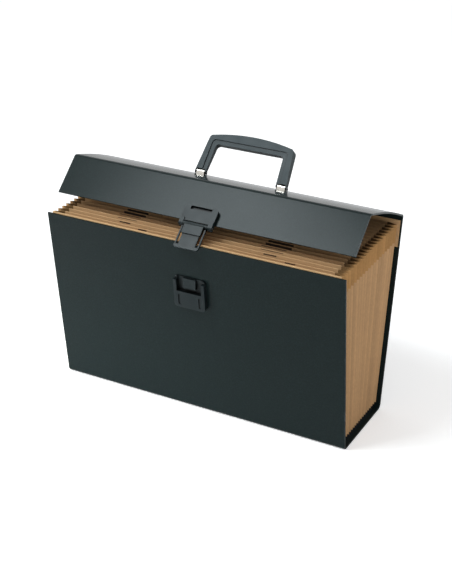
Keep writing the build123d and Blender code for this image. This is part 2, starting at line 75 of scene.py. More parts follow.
# Pleated file
POCKETS = 19
CARD = 0.6
PAPER_GAP = 0.3
PIVOT_Z = 9.1
FRONT_DIVIDER = FRONT_HEIGHT - 8.5
BACK_DIVIDER = BACK_HEIGHT - 20.0
PLEAT_OUTER = 185.0
PLEAT_DEPTH = 12.0
PLEAT_INNER = PLEAT_OUTER - PLEAT_DEPTH
DIVIDER_HALF = PLEAT_INNER - PAPER_GAP


def linear(hex_colour):
    """A hex sRGB colour as the linear RGBA that shaders take."""
    parts = [int(hex_colour[i : i + 2], 16) / 255 for i in (1, 3, 5)]
    curve = [c / 12.92 if c <= 0.04045 else ((c + 0.055) / 1.055) ** 2.4 for c in parts]
    return (*curve, 1.0)


def toned(colour, share):
    """A colour made darker or lighter by a share, and opaque."""
    return tuple(min(1.0, c * share) for c in colour[:3]) + (1.0,)


class Side:
    """A straight face in the side view: s runs along it and h out of it, in millimetres.

    Out of it lies to the left of its run where the hand is 1, and to the right where it is -1.
    """

    def __init__(self, start, angle, hand):
        self.start = start
        run = math.radians(angle)
        self.along = (math.cos(run), math.sin(run))
        self.out = (-hand * math.sin(run), hand * math.cos(run))

    def at(self, s, h=0.0):
        """The (Y, Z) of a point on the face, or at a level out of it."""
        return tuple(self.start[i] + s * self.along[i] + h * self.out[i] for i in (0, 1))

    def y_at(self, z, h=0.0):
        """The Y where the face, or a level out of it, reaches a height."""
        s = (z - self.start[1] - h * self.out[1]) / self.along[1]
        return self.at(s, h)[0]


FRONT = Side((-BASE_DEPTH / 2, 0.0), 90 + SPREAD, 1)
BACK = Side((BASE_DEPTH / 2, 0.0), 90 - SPREAD, -1)
LID = Side(BACK.at(BACK_HEIGHT), 180 - LID_RAISE, -1)
FLAP = Side(LID.at(LID_DEPTH), 270 - FLAP_SWING, -1)


def reach(radius, turn):
    """Distance from a corner to the end of a fold of that outer radius."""
    return radius * math.tan(math.radians(turn) / 2)


BASE_REACH = reach(BASE_FOLD_RADIUS, 90 - SPREAD)
LID_REACH = reach(LID_FOLD_RADIUS, 90 + SPREAD - LID_RAISE)
FLAP_REACH = reach(FLAP_FOLD_RADIUS, 90 + LID_RAISE - FLAP_SWING)
CREASE = CREASE_GAP + BOARD / 2
LID_START = LID_REACH + CREASE_GAP
LID_CREASE = LID_DEPTH - FLAP_REACH - CREASE


# Meshes


SMOOTH_ANGLE = 60.0  # faces that meet at less than this are shaded as one


def make_object(name, points, faces, material, smooth=SMOOTH_ANGLE):
    """A mesh object from points in millimetres, smooth up to an angle in degrees."""
    mesh = bpy.data.meshes.new(name)
    mesh.from_pydata([[c * MM for c in p] for p in points], [], faces)
    mesh.materials.append(material)
    mesh.shade_smooth()
    mesh.set_sharp_from_angle(angle=math.radians(smooth))
    mesh.validate()
    piece = bpy.data.objects.new(name, mesh)
    bpy.context.scene.collection.objects.link(piece)
    return piece


def shell(name, outer, inner, material, smooth=SMOOTH_ANGLE):
    """A closed sheet between two grids of points of the same shape."""
    rows, columns = len(outer), len(outer[0])
    points = [p for grid in (outer, inner) for row in grid for p in row]
    below = rows * columns

    def index(r, c, side=0):
        return side * below + r * columns + c

    faces = []
    for r in range(rows - 1):
        for c in range(columns - 1):
            quad = [(r, c), (r, c + 1), (r + 1, c + 1), (r + 1, c)]
            faces.append([index(*q) for q in quad])
            faces.append([index(*q, side=1) for q in reversed(quad)])
    rim = [(0, c) for c in range(columns)]
    rim += [(r, columns - 1) for r in range(1, rows)]
    rim += [(rows - 1, c) for c in range(columns - 2, -1, -1)]
    rim += [(r, 0) for r in range(rows - 2, 0, -1)]
    for a, b in zip(rim, rim[1:] + rim[:1]):
        faces.append([index(*b), index(*a), index(*a, side=1), index(*b, side=1)])
    return make_object(name, points, faces, material, smooth)


def point(x, yz):
    """A row-frame point in metres, from X and a (Y, Z) pair in millimetres."""
    return (x * MM, yz[0] * MM, yz[1] * MM)


WELD_GAP = 0.001  # within which the corners of neighbouring CAD faces are joined
EDGE_SEGMENTS = 2
EDGE_ANGLE = 40.0  # edges sharper than this are rounded
FLAT_WEIGHT = 100  # lets the flat faces alone set the shading, so that no seams show on them

# Widths of the rounded edges, in millimetres
GRIP_EDGE = 0.5
LATCH_EDGE = 0.3
TRAY_EDGE = 0.3
STRAP_EDGE = 0.12
STEEL_EDGE = 0.1


def dress(names, material, edge=0.0):
    """Gives CAD nodes a material and rounds their edges by a width in millimetres."""
    for name in names:
        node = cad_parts[name]
        if not node.material_slots:
            node.data.materials.append(material)
        for slot in node.material_slots:
            slot.material = material
        if edge:
            weld = node.modifiers.new("weld", "WELD")
            weld.merge_threshold = WELD_GAP * MM
            bevel = node.modifiers.new("edges", "BEVEL")
            bevel.width = edge * MM
            bevel.segments = EDGE_SEGMENTS
            bevel.limit_method = "ANGLE"
            bevel.angle_limit = math.radians(EDGE_ANGLE)
            bevel.use_clamp_overlap = True
            flats = node.modifiers.new("flats", "WEIGHTED_NORMAL")
            flats.weight = FLAT_WEIGHT
            flats.keep_sharp = True


# Materials


def add_node(tree, kind, settings=None, inputs=None):
    """Adds a node with its settings; an input is a value, or another node's output to link."""
    node = tree.nodes.new(kind)
    for key, value in (settings or {}).items():
        setattr(node, key, value)
    for key, value in (inputs or {}).items():
        if isinstance(value, bpy.types.NodeSocket):
            tree.links.new(value, node.inputs[key])
        else:
            node.inputs[key].default_value = value
    return node


def new_material(name):
    """An empty node material, its tree and its object coordinates in metres."""
    material = bpy.data.materials.new(name)
    material.use_nodes = True
    tree = material.node_tree
    tree.nodes.clear()
    place = add_node(tree, "ShaderNodeTexCoord").outputs["Object"]
    return material, tree, place


def finish_material(tree, shader):
    """Links the finished shader to the material's output."""
    add_node(tree, "ShaderNodeOutputMaterial", inputs={"Surface": shader.outputs[0]})


# Sizes of the patterns on each material, in millimetres
GRAIN = 1.6  # the real grain is about 0.5 mm across; it is drawn coarser so that it shows
GRAIN_WRINKLE = 3.5
GRAIN_HEIGHT = 0.12
HANDLING_CLOUD = 60.0


def grained_board(name, colour, gloss=(0.2, 0.28), relief=0.18, shine=0.105):
    """Board wrapped in black PVC sheet that was embossed with a fine leather grain."""
    # The grain breaks the gloss into a satin sheen that turns pale only at a glancing look.
    material, tree, place = new_material(name)
    grain = add_node(
        tree,
        "ShaderNodeTexVoronoi",
        {"feature": "SMOOTH_F1"},
        {"Vector": place, "Scale": 1 / (GRAIN * MM), "Smoothness": 0.6},
    )
    wrinkle = add_node(
        tree,
        "ShaderNodeTexNoise",
        inputs={"Vector": place, "Scale": 1 / (GRAIN_WRINKLE * MM), "Detail": 4.0},
    )
    height = add_node(
        tree,
        "ShaderNodeMath",
        {"operation": "MULTIPLY_ADD"},
        {0: wrinkle.outputs["Fac"], 1: 0.5, 2: grain.outputs["Distance"]},
    )
    bump = add_node(
        tree,
        "ShaderNodeBump",
        inputs={
            "Strength": relief,
            "Distance": GRAIN_HEIGHT * MM,
            "Height": height.outputs[0],
        },
    )
    # Handling leaves broad, faint cloudiness in the sheen.
    cloud = add_node(
        tree,
        "ShaderNodeTexNoise",
        inputs={"Vector": place, "Scale": 1 / (HANDLING_CLOUD * MM), "Detail": 3.0},
    )
    sheen = add_node(
        tree,
        "ShaderNodeMapRange",
        inputs={"Value": cloud.outputs["Fac"], "To Min": gloss[0], "To Max": gloss[1]},
    )
    tone = add_node(
        tree,
        "ShaderNodeMix",
        {"data_type": "RGBA"},
        {
            "Factor": grain.outputs["Distance"],
            "A": toned(colour, 0.75),
            "B": toned(colour, 1.25),
        },
    )
    wear_and_shade = rubbed_sides(tree, place, tone.outputs["Result"])
    shader = add_node(
        tree,
        "ShaderNodeBsdfPrincipled",
        inputs={
            "Base Color": wear_and_shade.outputs["Result"],
            "Roughness": sheen.outputs["Result"],
            "IOR": 1.5,
            "Specular IOR Level": shine,
            "Normal": bump.outputs["Normal"],
        },
    )
    finish_material(tree, shader)
    return material


RUB_REACH = 1.6  # how far in from the cover's side edges its skin is rubbed
RUB_PATCH = 9.0  # the rubbing comes in patches of about this size


def rubbed_sides(tree, place, colour):
    """Pale, broken rubbing along the cover's side edges, where it slides on shelves."""
    across = add_node(tree, "ShaderNodeSeparateXYZ", inputs={"Vector": place})
    outward = add_node(
        tree, "ShaderNodeMath", {"operation": "ABSOLUTE"}, {0: across.outputs["X"]}
    )
    edge = add_node(
        tree,
        "ShaderNodeMapRange",
        inputs={
            "Value": outward.outputs[0],
            "From Min": (WIDTH / 2 - RUB_REACH) * MM,
            "From Max": WIDTH / 2 * MM,
        },
    )
    scuffs = add_node(
        tree,
        "ShaderNodeTexNoise",
        inputs={"Vector": place, "Scale": 1 / (RUB_PATCH * MM), "Detail": 6.0},
    )
    broken = add_node(
        tree,
        "ShaderNodeMapRange",
        inputs={
            "Value": scuffs.outputs["Fac"],
            "From Min": 0.5,
            "From Max": 0.7,
            "To Max": 0.45,
        },
    )
    share = add_node(
        tree,
        "ShaderNodeMath",
        {"operation": "MULTIPLY"},
        {0: edge.outputs["Result"], 1: broken.outputs["Result"]},
    )
    return add_node(
        tree,
        "ShaderNodeMix",
        {"data_type": "RGBA"},
        {"Factor": share.outputs[0], "A": colour, "B": linear("#5c6163")},
    )


FIBRE_WIDTH = 1.2  # fibres are finer and 2 to 3 mm long; drawn coarser so that they show
PAPER_MOTTLE = 22.0
FIBRE_HEIGHT = 0.08


def kraft(name, colour, stretch, folded=False):
    """Machine-made kraft paper: matt, with long fibres and a faint mottle.

    A folded sheet is a little paler on its outer folds, and painted shade darkens it towards its
    inner ones.
    """
    material, tree, place = new_material(name)
    # The fibres lie along the sheet; stretch turns them that way.
    fibre_place = add_node(
        tree, "ShaderNodeMapping", inputs={"Vector": place, "Scale": stretch}
    )
    fibre = add_node(
        tree,
        "ShaderNodeTexNoise",
        inputs={
            "Vector": fibre_place.outputs["Vector"],
            "Scale": 1 / (FIBRE_WIDTH * MM),
            "Detail": 5.0,
            "Roughness": 0.65,
        },
    )
    mottle = add_node(
        tree,
        "ShaderNodeTexNoise",
        inputs={"Vector": place, "Scale": 1 / (PAPER_MOTTLE * MM), "Detail": 3.0},
    )
    both = add_node(
        tree,
        "ShaderNodeMath",
        {"operation": "MULTIPLY_ADD"},
        {0: mottle.outputs["Fac"], 1: 0.35, 2: fibre.outputs["Fac"]},
    )
    shade = add_node(
        tree,
        "ShaderNodeMapRange",
        inputs={"Value": both.outputs[0], "From Min": 0.35, "From Max": 1.0},
    )
    tone = add_node(
        tree,
        "ShaderNodeMix",
        {"data_type": "RGBA"},
        {
            "Factor": shade.outputs["Result"],
            "A": toned(colour, 0.84),
            "B": toned(colour, 1.12),
        },
    )
    if folded:
        tone = fold_shade(tree, place, tone.outputs["Result"])
    bump = add_node(
        tree,
        "ShaderNodeBump",
        inputs={
            "Strength": 0.4,
            "Distance": FIBRE_HEIGHT * MM,
            "Height": fibre.outputs["Fac"],
        },
    )
    shader = add_node(
        tree,
        "ShaderNodeBsdfPrincipled",
        inputs={
            "Base Color": tone.outputs["Result"],
            "Roughness": 0.85,
            "Specular IOR Level": 0.25,
            "Normal": bump.outputs["Normal"],
        },
    )
    finish_material(tree, shader)
    return material


FOLD_SHADE_DEPTH = 6.5  # from a pleat's outer fold to where its paper is at its darkest


def fold_shade(tree, place, colour):
    """Painted shade that darkens a pleated sheet towards its inner folds, where shade falls, and
    each pleat a little differently.
    """
    across = add_node(tree, "ShaderNodeSeparateXYZ", inputs={"Vector": place})
    outward = add_node(
        tree, "ShaderNodeMath", {"operation": "ABSOLUTE"}, {0: across.outputs["X"]}
    )
    depth = add_node(
        tree,
        "ShaderNodeMapRange",
        {"interpolation_type": "SMOOTHSTEP"},
        {
            "Value": outward.outputs[0],
            "From Min": (PLEAT_OUTER - FOLD_SHADE_DEPTH) * MM,
            "From Max": PLEAT_OUTER * MM,
            "To Min": 0.5,
            "To Max": 1.1,
        },
    )
    piece = add_node(tree, "ShaderNodeObjectInfo")
    sheet = add_node(
        tree,
        "ShaderNodeMapRange",
        inputs={"Value": piece.outputs["Random"], "To Min": 0.84, "To Max": 1.08},
    )
    level = add_node(
        tree,
        "ShaderNodeMath",
        {"operation": "MULTIPLY"},
        {0: depth.outputs["Result"], 1: sheet.outputs["Result"]},
    )
    return add_node(
        tree,
        "ShaderNodeMix",
        {"data_type": "RGBA", "blend_type": "MULTIPLY"},
        {"Factor": 1.0, "A": colour, "B": level.outputs[0]},
    )


INK_PATCH = 1.5


def index_ink():
    """Plain printed bars on the sheets: dark ink that sinks into the paper and stays matt."""
    material, tree, place = new_material("offset_printed_ink")
    # Ink is thinner where the paper's fibres stand up, so that some brown shows through.
    cover = add_node(
        tree,
        "ShaderNodeTexNoise",
        inputs={"Vector": place, "Scale": 1 / (INK_PATCH * MM), "Detail": 3.0},
    )
    tone = add_node(
        tree,
        "ShaderNodeMix",
        {"data_type": "RGBA"},
        {"Factor": cover.outputs["Fac"], "A": linear("#1c130d"), "B": linear("#4a3422")},
    )
    shader = add_node(
        tree,
        "ShaderNodeBsdfPrincipled",
        inputs={"Base Color": tone.outputs["Result"], "Roughness": 0.8},
    )
    finish_material(tree, shader)
    return material


PIT = 0.7  # spark erosion leaves pits of about 0.1 mm; they are drawn coarser to show
PIT_DEPTH = 0.05
FLOW_MARK = 14.0
RECESS_REACH = 8.0  # how near other faces have to be for a face to count as recessed and get painted shade


def moulded(name, colour, roughness=0.42, shine=0.16):
    """Injection-moulded black ABS with a spark-eroded, slightly pearly surface, and painted shade
    in its recesses.
    """
    material, tree, place = new_material(name)
    pits = add_node(
        tree,
        "ShaderNodeTexNoise",
        inputs={"Vector": place, "Scale": 1 / (PIT * MM), "Detail": 2.0},
    )
    flow = add_node(
        tree,
        "ShaderNodeTexNoise",
        inputs={"Vector": place, "Scale": 1 / (FLOW_MARK * MM), "Detail": 2.0},
    )
    gloss = add_node(
        tree,
        "ShaderNodeMapRange",
        inputs={
            "Value": flow.outputs["Fac"],
            "To Min": roughness - 0.06,
            "To Max": roughness + 0.08,
        },
    )
    tone = add_node(
        tree,
        "ShaderNodeMix",
        {"data_type": "RGBA"},
        {
            "Factor": pits.outputs["Fac"],
            "A": toned(colour, 0.8),
            "B": toned(colour, 1.2),
        },
    )
    # Painted shade: faces crowded by other faces, in the wells and slots, are darkened towards
    # deep black, where shade falls.
    painted_shade_openness = add_node(
        tree, "ShaderNodeAmbientOcclusion", {"samples": 8}, {"Distance": RECESS_REACH * MM}
    )
    wear_and_shade = add_node(
        tree,
        "ShaderNodeMapRange",
        inputs={"Value": painted_shade_openness.outputs["AO"], "From Min": 0.55, "From Max": 0.97},
    )
    tone = add_node(
        tree,
        "ShaderNodeMix",
        {"data_type": "RGBA"},
        {
            "Factor": wear_and_shade.outputs["Result"],
            "A": toned(colour, 0.08),
            "B": tone.outputs["Result"],
        },
    )
    bump = add_node(
        tree,
        "ShaderNodeBump",
        inputs={
            "Strength": 0.25,
            "Distance": PIT_DEPTH * MM,
            "Height": pits.outputs["Fac"],
        },
    )
    shader = add_node(
        tree,
        "ShaderNodeBsdfPrincipled",
        inputs={
            "Base Color": tone.outputs["Result"],
            "Roughness": gloss.outputs["Result"],
            "IOR": 1.54,
            "Specular IOR Level": shine,
            "Normal": bump.outputs["Normal"],
        },
    )
    finish_material(tree, shader)
    return material


RUBBING = 0.8


def metal(name, colour, roughness, scratch):
    """Plated steel: scratch is how much fine rubbing varies its gloss."""
    material, tree, place = new_material(name)
    rubbing = add_node(
        tree,
        "ShaderNodeTexNoise",
        inputs={"Vector": place, "Scale": 1 / (RUBBING * MM), "Detail": 4.0},
    )
    gloss = add_node(
        tree,
        "ShaderNodeMapRange",
        inputs={
            "Value": rubbing.outputs["Fac"],
            "To Min": roughness,
            "To Max": roughness + scratch,
        },
    )
    shader = add_node(
        tree,
        "ShaderNodeBsdfPrincipled",
        inputs={
            "Base Color": colour,
            "Metallic": 1.0,
            "Roughness": gloss.outputs["Result"],
        },
    )
    finish_material(tree, shader)
    return material


# Cover


def lid_rise(s):
    """Height of the bowed lid above its chord."""
    share = (s - LID_START) / (LID_CREASE - LID_START)
    return 4 * LID_BOW * share * (1 - share)


FLANK = 1.2  # how far a crease runs over the board on one side of its gap
LAP = 0.4  # and over the fold piece on the other
BEND_INSET = 0.3  # from a crease's edges to where its bend starts
PROUD = 0.06  # how far its skin stands above the board
CREASE_STEPS = 12


def crease(name, side, span, material, bow=False):
    """Grained skin over one crease of the cover."""
    length = span[1] - span[0]
    places = [span[0] + length * i / CREASE_STEPS for i in range(CREASE_STEPS + 1)]
    half = WIDTH / 2 + PROUD
    grids = []
    for level in (PROUD, -BOARD - PROUD):
        row = [side.at(s, level + (max(0.0, lid_rise(s)) if bow else 0.0)) for s in places]
        grids.append([[(x, *p) for x in (-half, half)] for p in row])
    piece = shell(name, *grids, material)
    bend = (span[0] + BEND_INSET, span[1] - BEND_INSET)
    start, end = (point(0, side.at(s, -BOARD / 2)) for s in bend)
    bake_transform(piece)


BASE_SPAN = (BASE_REACH - LAP, BASE_REACH + CREASE + FLANK)
CREASES = (
    ("crease_front", FRONT, BASE_SPAN, ("base", "front")),
    ("crease_back", BACK, BASE_SPAN, ("base", "back")),
    (
        "crease_lid_fold",
        BACK,
        (BACK_HEIGHT - LID_REACH - CREASE - FLANK, BACK_HEIGHT - LID_REACH + LAP),
        ("back", "lid_fold"),
    ),
    ("crease_lid", LID, (LID_REACH - LAP, LID_START + FLANK), ("lid_fold", "lid")),
    (
        "crease_flap_fold",
        LID,
        (LID_CREASE - FLANK, LID_DEPTH - FLAP_REACH + LAP),
        ("lid", "flap_fold"),
    ),
    (
        "crease_flap",
        FLAP,
        (FLAP_REACH - LAP, FLAP_REACH + CREASE + FLANK),
        ("flap_fold", "flap"),
    ),
)


class CoverSettings(bpy.types.PropertyGroup):
    colour: bpy.props.FloatVectorProperty(
        name="Cover colour",
        description="Colour of the embossed sheet that wraps the board",
        subtype="COLOR",
        size=4,
        default=linear("#172121"),
    )
    edge: bpy.props.FloatProperty(
        name="Board edge",
        description="Rounding of the wrapped board's edges",
        default=0.45 * MM,
        unit="LENGTH",
    )


class FILECASE_OT_cover(bpy.types.Operator):
    """Wraps the cover's boards and lays a grained skin over each crease"""

    bl_idname = "file_case.cover"
    bl_label = "Cover"

    def execute(self, context):
        settings = context.scene.file_case_cover
        colour = tuple(settings.colour)
        material = grained_board("embossed_pvc_on_board", colour)
        # Bending the lid's sheet over its bow has drawn the grain out flatter.
        stretched = grained_board(
            "stretched_pvc_on_lid", colour, gloss=(0.1, 0.16), relief=0.05, shine=0.32
        )
        boards = ("base_panel", "front_panel", "back_panel", "flap_panel")
        dress(boards, material, settings.edge / MM)
        dress(("lid_panel",), stretched, settings.edge / MM)
        dress(("lid_fold", "flap_fold"), material)
        for name, side, span, bodies in CREASES:
            crease(name, side, span, material, bow=side is LID)
        return {"FINISHED"}


# Pleated file


def sheet_side(k):
    """The side view line of sheet k, counted from the front wall, 0, to the back wall."""
    share = k / POCKETS
    face = -BOARD - CARD - PAPER_GAP
    front, back = FRONT.y_at(PIVOT_Z, face), BACK.y_at(PIVOT_Z, face)
    lean = -SPREAD + 2 * SPREAD * share
    return Side((front + (back - front) * share, PIVOT_Z), 90 - lean, -1)


TOP_FRONT = sheet_side(0).at(FRONT_DIVIDER)
TOP_BACK = sheet_side(POCKETS).at(BACK_DIVIDER)


def top_at(y):
    """Height of the sheets' top edges at a Y."""
    share = (y - TOP_FRONT[0]) / (TOP_BACK[0] - TOP_FRONT[0])
    return TOP_FRONT[1] + share * (TOP_BACK[1] - TOP_FRONT[1])


PLEAT_STEPS = 10
PLEAT_ROWS = 16
PLEAT_FULLNESS = 1.18  # 1 folds a pleat like a V; more rounds its outer fold
TOPS_LEVEL = 225.0  # about the height of the sheets' tops
PLEAT_BEND_LEVEL = 150.0  # the height at which a pleat follows its two sheets exactly


def pleat_grid(side, k, shares, offset, bottom=None):
    """Points of one pleat: shares run from sheet k, 0, to the next, 1, over the outer fold."""
    first, last = sheet_side(k), sheet_side(k + 1)
    grid = []
    for row in range(PLEAT_ROWS + 1):
        up = row / PLEAT_ROWS
        points = []
        for share in shares:
            top = top_at(first.y_at(TOPS_LEVEL) * (1 - share) + last.y_at(TOPS_LEVEL) * share)
            low = PIVOT_Z if bottom is None else top - bottom
            z = low + (top - low) * up
            y = first.y_at(z) * (1 - share) + last.y_at(z) * share
            bulge = 1 - abs(2 * share - 1) ** PLEAT_FULLNESS
            points.append((side * (PLEAT_INNER + PLEAT_DEPTH * bulge + offset), y, z))
        grid.append(points)
    return grid


def pleat_blend(piece, driver, follower):
    """Bakes a pleat's transform into its mesh."""
    sheet = sheet_side(driver)
    end = (sheet.y_at(PLEAT_BEND_LEVEL), PLEAT_BEND_LEVEL)
    across = sheet_side(follower).y_at(PLEAT_BEND_LEVEL) - end[0]
    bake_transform(piece)


PLEAT_SMOOTH_ANGLE = 75.0


def pleat(name, side, k, shares, layer, material, band=None):
    """One pleat, or one half of it, as a closed sheet of paper between two offsets."""
    grids = [pleat_grid(side, k, shares, offset, band) for offset in layer]
    if side < 0:
        grids.reverse()
    return shell(name, *grids, material, PLEAT_SMOOTH_ANGLE)


def pleat_parts(k):
    """The pieces of pleat k: tail of the name, shares, and its two sheets.

    The first of the two sheets is the one that turns more. The middle pleat comes in two
    halves, because its sheets turn against each other.
    """
    full = [i / PLEAT_STEPS for i in range(PLEAT_STEPS + 1)]
    half, middle = PLEAT_STEPS // 2, POCKETS // 2
    if k == middle:
        return [("_front", full[: half + 1], (k, k + 1)), ("_back", full[half:], (k + 1, k))]
    return [("", full, (k, k + 1) if k < middle else (k + 1, k))]


# How far out the two faces of a layer lie from the pleat's inner face
PLEAT_LAYER = (0.5, 0.0)
TAPE_LAYER = (0.95, -0.35)

# By how much the fibres' pattern is pressed together along X, Y and Z; less makes them longer
PLEAT_FIBRES = (1.0, 1.0, 0.25)
TAPE_FIBRES = (1.0, 1.0, 0.5)
SHEET_FIBRES = (0.25, 1.0, 1.0)


class FileSettings(bpy.types.PropertyGroup):
    paper: bpy.props.FloatVectorProperty(
        name="Paper colour",
        description="Colour of the kraft pleats and sheets",
        subtype="COLOR",
        size=4,
        default=linear("#b8956e"),
    )
    sheet: bpy.props.FloatVectorProperty(
        name="Sheet colour",
        description="Colour of the kraft sheets that part the pockets",
        subtype="COLOR",
        size=4,
        default=linear("#d0a97c"),
    )
    tape: bpy.props.FloatVectorProperty(
        name="Tape colour",
        description="Colour of the tape that binds the tops of the pleats",
        subtype="COLOR",
        size=4,
        default=linear("#ac8454"),
    )
    tape_height: bpy.props.FloatProperty(
        name="Tape height",
        description="Height of the binding tape on the pleats",
        default=22 * MM,
        unit="LENGTH",
    )


class FILECASE_OT_pleats(bpy.types.Operator):
    """Folds the kraft pleats and their binding tape at both ends of the file"""

    bl_idname = "file_case.pleats"
    bl_label = "Pleats"

    def execute(self, context):
        settings = context.scene.file_case_file
        paper = kraft("machine_glazed_kraft", tuple(settings.paper), PLEAT_FIBRES, folded=True)
        tape = kraft("gummed_binding_tape", tuple(settings.tape), TAPE_FIBRES, folded=True)
        layers = (
            ("gusset", PLEAT_LAYER, paper, None, "kraft_paper"),
            ("tape", TAPE_LAYER, tape, settings.tape_height / MM, "edge_tape"),
        )
        for hand, side in (("left", -1), ("right", 1)):
            for k in range(POCKETS):
                for kind, layer, material, band, slot in layers:
                    for tail, shares, sheets in pleat_parts(k):
                        name = f"{hand}_{kind}_{k + 1:02d}{tail}"
                        piece = pleat(name, side, k, shares, layer, material, band)
                        pleat_blend(piece, *sheets)
                        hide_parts(f"{hand}_{kind}")
        return {"FINISHED"}


# Printed index bars on each sheet: their X and length, and their drop below its top edge
INDEX_BARS = ((-112.0, 29.0), (74.0, 31.0))
INDEX_DROP = 0.9
# How a bar varies from sheet to sheet: its shift, its share of the length and its height
INDEX_STEPS = (
    (0.0, 1.0, 2.8),
    (40.0, 0.4, 1.5),
    (10.0, 0.5, 1.7),
    (2.0, 0.9, 0.8),
    (-1.0, 1.0, 1.0),
    (0.0, 1.05, 3.1),
)


def stations(low, high, count, extra):
    """Evenly spaced stations with the extra ones among them."""
    even = [low + (high - low) * i / count for i in range(count + 1)]
    # An even station that would make a sliver next to an extra one is left out.
    near = (high - low) / count / 3
    inner = [v for v in even[1:-1] if all(abs(v - e) > near for e in extra)]
    return sorted([low, high, *inner, *extra])


def index_bars(k):
    """Where the printed bars of sheet k run along X, and their height."""
    shift, share, height = INDEX_STEPS[k % len(INDEX_STEPS)]
    return [(x + shift, x + shift + share * length) for x, length in INDEX_BARS], height


# The waves along a sheet's top edge: height, pace, and shift from one sheet to the next
WAVES = ((0.55, 2.1 * math.pi, 1.3), (0.275, 4.7, 2.4))
ENDS_POWER = 6  # the higher, the closer to its ends a sheet is wavy
FOOT_POWER = 2.5  # the lower, the further down it is wavy
SHEET_COLUMNS = 28
SHEET_ROWS = 14


def sheet_wave(k, share):
    """The bend along the top edge of sheet k, which has gone a little wavy with use."""
    bend = sum(height * math.sin(pace * share + shift * k) for height, pace, shift in WAVES)
    return bend * (1 - share**ENDS_POWER)


def divider_grid(k, level, x_stations, s_stations):
    """One face of a divider, at a level out of its middle."""
    line = sheet_side(k)
    grid = []
    for s in s_stations:
        up = (s / s_stations[-1]) ** FOOT_POWER
        row = []
        for x in x_stations:
            row.append((x, *line.at(s, sheet_wave(k, x / DIVIDER_HALF) * up + level)))
        grid.append(row)
    return grid


def divider_sheet(k, paper, ink):
    """A divider with its printed bars, as a closed sheet of paper."""
    length = FRONT_DIVIDER + (BACK_DIVIDER - FRONT_DIVIDER) * k / POCKETS
    bars, height = index_bars(k)
    drops = [length - INDEX_DROP - height, length - INDEX_DROP]
    edges = [x for bar in bars for x in bar]
    across = stations(-DIVIDER_HALF, DIVIDER_HALF, SHEET_COLUMNS, edges)
    along = stations(0.0, length, SHEET_ROWS, drops)
    grids = [divider_grid(k, level, across, along) for level in (CARD / 2, -CARD / 2)]
    piece = shell(f"divider_{k:02d}_sheet", *grids, paper)
    mesh = piece.data
    mesh.materials.append(ink)
    line = sheet_side(k)
    for face in mesh.polygons:
        x, y, z = (c / MM for c in face.center)
        s = (y - line.start[0]) * line.along[0] + (z - line.start[1]) * line.along[1]
        inside = drops[0] < s < drops[1] and any(a < x < b for a, b in bars)
        if inside and face.normal.y * line.out[0] > 0:
            face.material_index = 1
    return piece


class FILECASE_OT_dividers(bpy.types.Operator):
    """Cuts the kraft sheets that part the pockets, and the sheets on the cover"""

    bl_idname = "file_case.dividers"
    bl_label = "Dividers"

    def execute(self, context):
        settings = context.scene.file_case_file
        paper = kraft("kraft_divider_sheet", tuple(settings.sheet), SHEET_FIBRES)
        ink = index_ink()
        for k in range(1, POCKETS):
            name = f"divider_{k:02d}"
            piece = divider_sheet(k, paper, ink)
            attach(piece, name)
            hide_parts(name)
        dress(("front_wall", "back_wall"), paper)
        # The tray is plain board with a thick coat of black paint; its near-black, darker than
        # the cover, is partly painted shade for the deep gap under the pockets.
        tray = grained_board("black_board_and_painted_shade", linear("#101213"))
        dress(("base_block",), tray, TRAY_EDGE)
        return {"FINISHED"}


# Handle and latch


class FittingSettings(bpy.types.PropertyGroup):
    handle: bpy.props.FloatVectorProperty(
        name="Handle colour",
        description="Colour of the moulded handle",
        subtype="COLOR",
        size=4,
        default=linear("#253033"),
    )
    latch: bpy.props.FloatVectorProperty(
        name="Latch colour",
        description="Colour of the moulded latch and keeper",
        subtype="COLOR",
        size=4,
        default=linear("#0f1a1c"),
    )


class FILECASE_OT_handle(bpy.types.Operator):
    """Finishes the handle, its pins, its strap loops and their backing plates"""

    bl_idname = "file_case.handle"
    bl_label = "Handle"

    def execute(self, context):
        settings = context.scene.file_case_fittings
        plastic = moulded("moulded_abs_handle", tuple(settings.handle))
        dress(("handle_grip",), plastic, GRIP_EDGE)
        nickel = metal("nickel_plated_strap", linear("#e4dfd6"), roughness=0.2, scratch=0.06)
        zinc = metal("zinc_plated_steel", linear("#a7abad"), roughness=0.3, scratch=0.15)
        dress(("handle_loops",), nickel, STRAP_EDGE)
        dress(("handle_pins", "handle_backing_plates"), zinc, STEEL_EDGE)
        dress(("hasp_pin", "keeper_backplate", "latch_backplate"), zinc, STEEL_EDGE)
        return {"FINISHED"}


class FILECASE_OT_latch(bpy.types.Operator):
    """Finishes the latch plate, its hasp and the keeper"""

    bl_idname = "file_case.latch"
    bl_label = "Latch"

    def execute(self, context):
        settings = context.scene.file_case_fittings
        plastic = moulded("moulded_abs_latch", tuple(settings.latch), shine=0.19)
        dress(("latch_plate", "hasp", "keeper"), plastic, LATCH_EDGE)
        return {"FINISHED"}


# Stage

# The camera as it was fitted to the photograph: degrees, millimetres and shares of the width
CAMERA_AZIMUTH = 28.02
CAMERA_ELEVATION = 25.73
CAMERA_ROLL = 0.68
CAMERA_DISTANCE = 1474.6
CAMERA_TARGET = (0.0, 0.0, 137.97)
CAMERA_SENSOR = 36.0
CAMERA_LENS = 76.12
CAMERA_SHIFT = (0.0066, -0.0060)
CAMERA_CLIP = 50.0  # metres, which takes in all of the floor

SUN_PLACE = (-640.0, -430.0, 600.0)
SUN_ANGLE = 9.0  # wide enough to soften the edges of the shadow

# Soft lights: share of the key light's power, size, place, target, colour and beam's spread
LAMPS = {
    "key": (1.0, (600, 420), (-430, -560, 1290), (0, 0, 120), (0.9, 0.99, 1.03), 180),
    "low": (0.03, (300, 60), (-560, -440, 60), (-120, -60, 20), (1, 1, 1), 50),
    "side": (0.44, (600, 260), (1250, -150, 110), (180, 0, 110), (1, 1, 1), 180),
}


